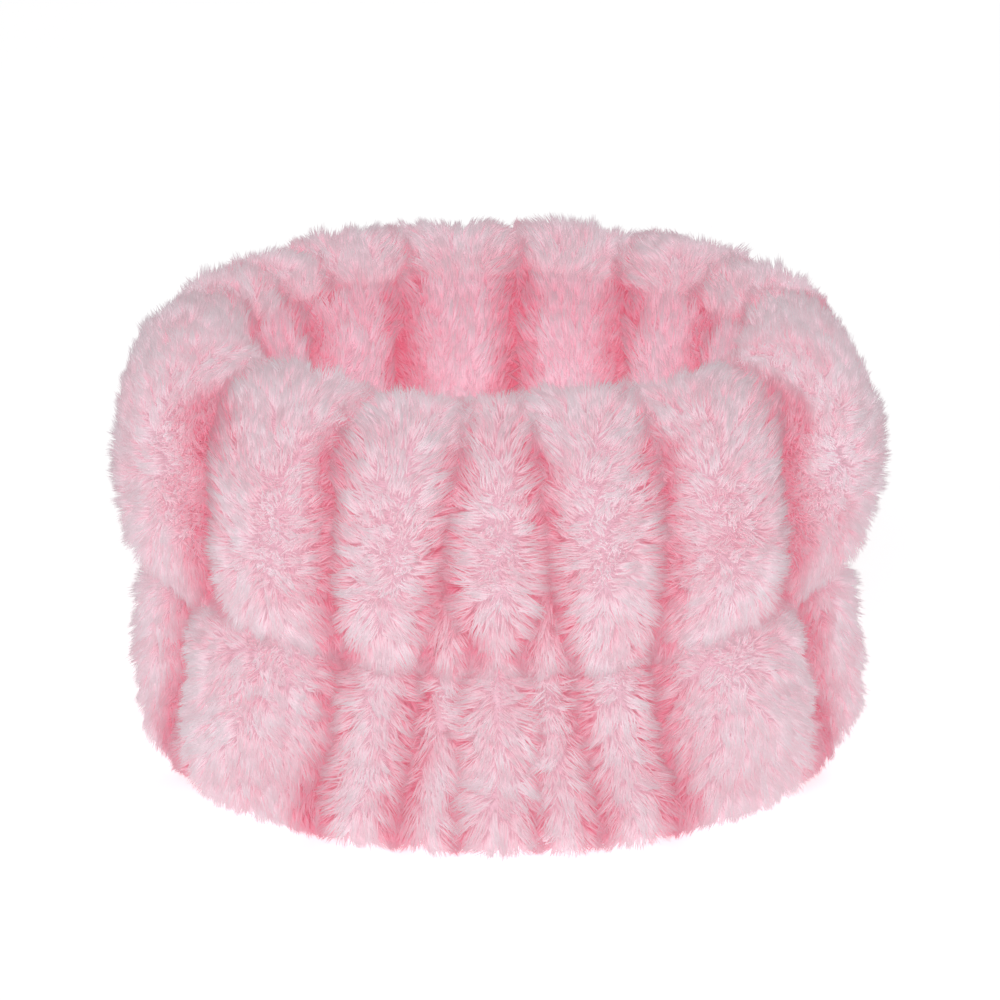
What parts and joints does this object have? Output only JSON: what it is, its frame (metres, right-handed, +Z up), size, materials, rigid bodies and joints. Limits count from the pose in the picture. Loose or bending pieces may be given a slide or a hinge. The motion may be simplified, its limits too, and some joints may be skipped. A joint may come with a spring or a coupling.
{
  "type": "spa wash band",
  "caption": "Wide gathered plush ring with hidden elastic tapes, worn round the wrist while washing so that no water runs down the arm.",
  "frame": {"origin": "middle of the ring, on the surface that the foot stands on", "axes": "+Z up through the ring towards the rim, +X the long way across the ring, front at -Y"},
  "size_m": [0.112, 0.1057, 0.066],
  "materials": {
    "outer_fleece": "pale pink long-pile coral fleece, soft sheen",
    "skin_side_fleece": "pale pink long-pile coral fleece, soft sheen",
    "woven_elastic": "white ribbed woven elastic",
    "sewing_thread": "pink twisted polyester thread"
  },
  "bodies": {
    "root": {"outer_fleece_panel": "outer_fleece", "skin_side_fleece_panel": "skin_side_fleece", "rim_elastic_tape": "woven_elastic", "waist_elastic_tape": "woven_elastic", "foot_elastic_tape": "woven_elastic", "rim_elastic_bartack": "sewing_thread", "waist_elastic_bartack": "sewing_thread", "foot_elastic_bartack": "sewing_thread", "rim_seam_thread": "sewing_thread", "foot_seam_thread": "sewing_thread", "gathering_needle_thread": "sewing_thread", "gathering_bobbin_thread": "sewing_thread", "outer_closing_seam_thread": "sewing_thread", "skin_closing_seam_thread": "sewing_thread"}
  },
  "joints": []
}
